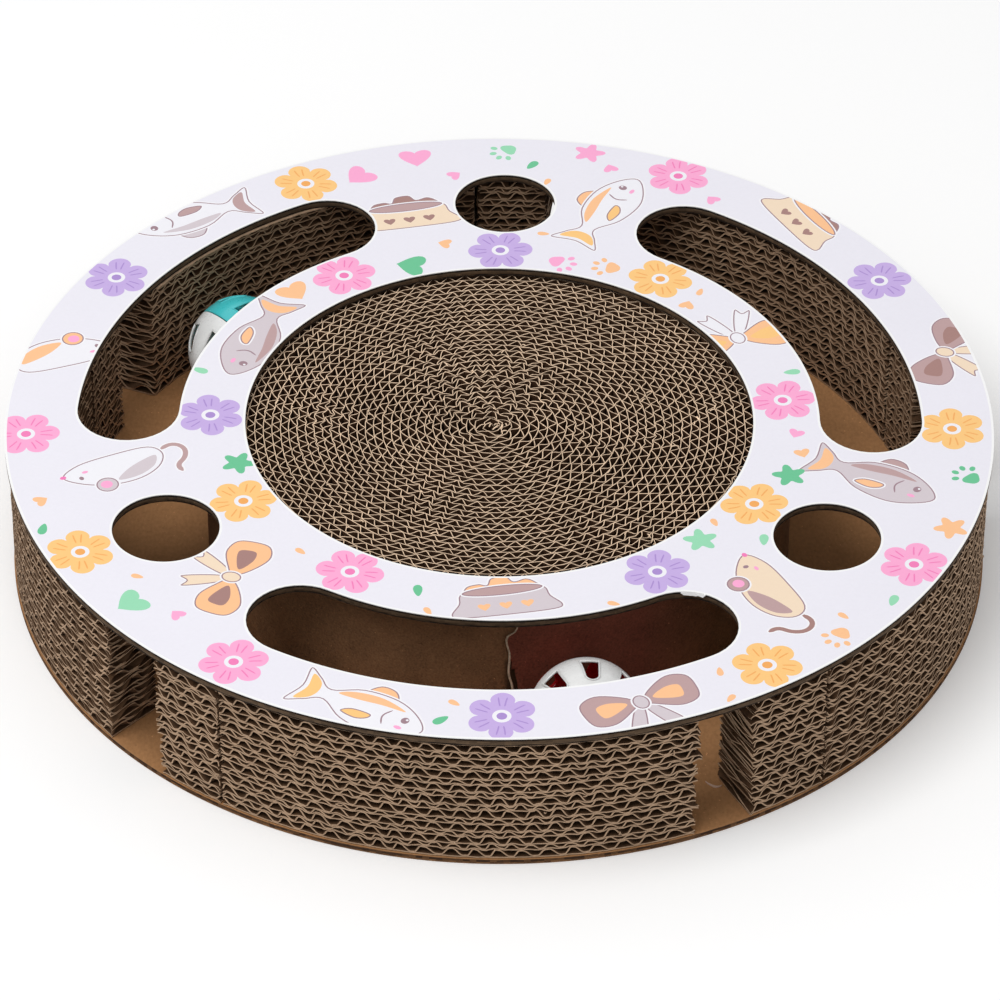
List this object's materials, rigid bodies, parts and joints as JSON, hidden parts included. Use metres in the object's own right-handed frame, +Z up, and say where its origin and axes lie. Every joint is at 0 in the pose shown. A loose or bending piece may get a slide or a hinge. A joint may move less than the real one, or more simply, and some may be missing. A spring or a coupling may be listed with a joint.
{
  "type": "cat scratcher with ball track",
  "caption": "Round corrugated board cat scratcher: a wound scratching coil in the middle, a covered track round it with balls to chase through slots.",
  "frame": {"origin": "middle of the base disc's underside, on the floor", "axes": "+Z up through the coil, +X to the right in the picture, +Y away from the viewer"},
  "size_m": [0.345, 0.345, 0.055],
  "materials": {
    "base_board": "brown kraft board, matt and a little fibrous",
    "wall_board": "grey-brown corrugated board, cut edges with open flutes",
    "band_paper": "brown kraft paper, matt",
    "coil_board": "wound corrugated board, light cut edges",
    "panel_board": "thin corrugated board, matt",
    "printed_paper": "pastel print on smooth paper, slight sheen",
    "white_plastic": "white moulded plastic, soft gloss",
    "red_plastic": "dark red moulded plastic, soft gloss",
    "teal_plastic": "teal moulded plastic, soft gloss",
    "bell_steel": "thin bright plated steel"
  },
  "bodies": {
    "root": {"base_disc": "base_board", "wall_block_long_1": "wall_board", "wall_block_long_2": "wall_board", "wall_block_long_3": "wall_board", "wall_block_long_4": "wall_board", "wall_block_long_5": "wall_board", "wall_block_short_1": "wall_board", "wall_block_short_2": "wall_board", "wall_block_short_3": "wall_board", "wall_block_short_4": "wall_board", "wall_block_short_5": "wall_board", "inner_band": "band_paper", "scratch_coil": "coil_board", "top_panel": "panel_board", "printed_face": "printed_paper"},
    "bell_a": {"ball_a_bell": "bell_steel"},
    "ball_a": {"ball_a_white_half": "white_plastic", "ball_a_red_half": "red_plastic"},
    "pellet_a": {"ball_a_pellet": "bell_steel"},
    "bell_b": {"ball_b_bell": "bell_steel"},
    "ball_b": {"ball_b_white_half": "white_plastic", "ball_b_teal_half": "teal_plastic"},
    "pellet_b": {"ball_b_pellet": "bell_steel"}
  },
  "joints": [
    {"name": "ball_a_orbit", "type": "hinge", "parent": "root", "child": "bell_a", "pos_m": [0, 0, 0.02205], "axis": [0, 0, 1], "range_deg": [-126.2, 196.3]},
    {"name": "ball_a_roll", "type": "hinge", "parent": "bell_a", "child": "ball_a", "pos_m": [0.02953, -0.12187, 0.02205], "axis": [0.2355, -0.9719, 0], "continuous": true},
    {"name": "pellet_a_hop", "type": "slide", "parent": "bell_a", "child": "pellet_a", "axis": [0, 0, 1], "range_m": [0, 0.006]},
    {"name": "ball_b_orbit", "type": "hinge", "parent": "root", "child": "bell_b", "pos_m": [0, 0, 0.02205], "axis": [0, 0, 1], "range_deg": [-196.3, 126.2]},
    {"name": "ball_b_roll", "type": "hinge", "parent": "bell_b", "child": "ball_b", "pos_m": [-0.09409, 0.08275, 0.02205], "axis": [-0.7509, 0.6604, 0], "continuous": true},
    {"name": "pellet_b_hop", "type": "slide", "parent": "bell_b", "child": "pellet_b", "axis": [0, 0, 1], "range_m": [0, 0.006]}
  ],
  "couplings": [
    {"joint": "ball_a_roll", "follows": "ball_a_orbit", "ratio": -6.3494},
    {"joint": "ball_b_roll", "follows": "ball_b_orbit", "ratio": -6.3443}
  ]
}
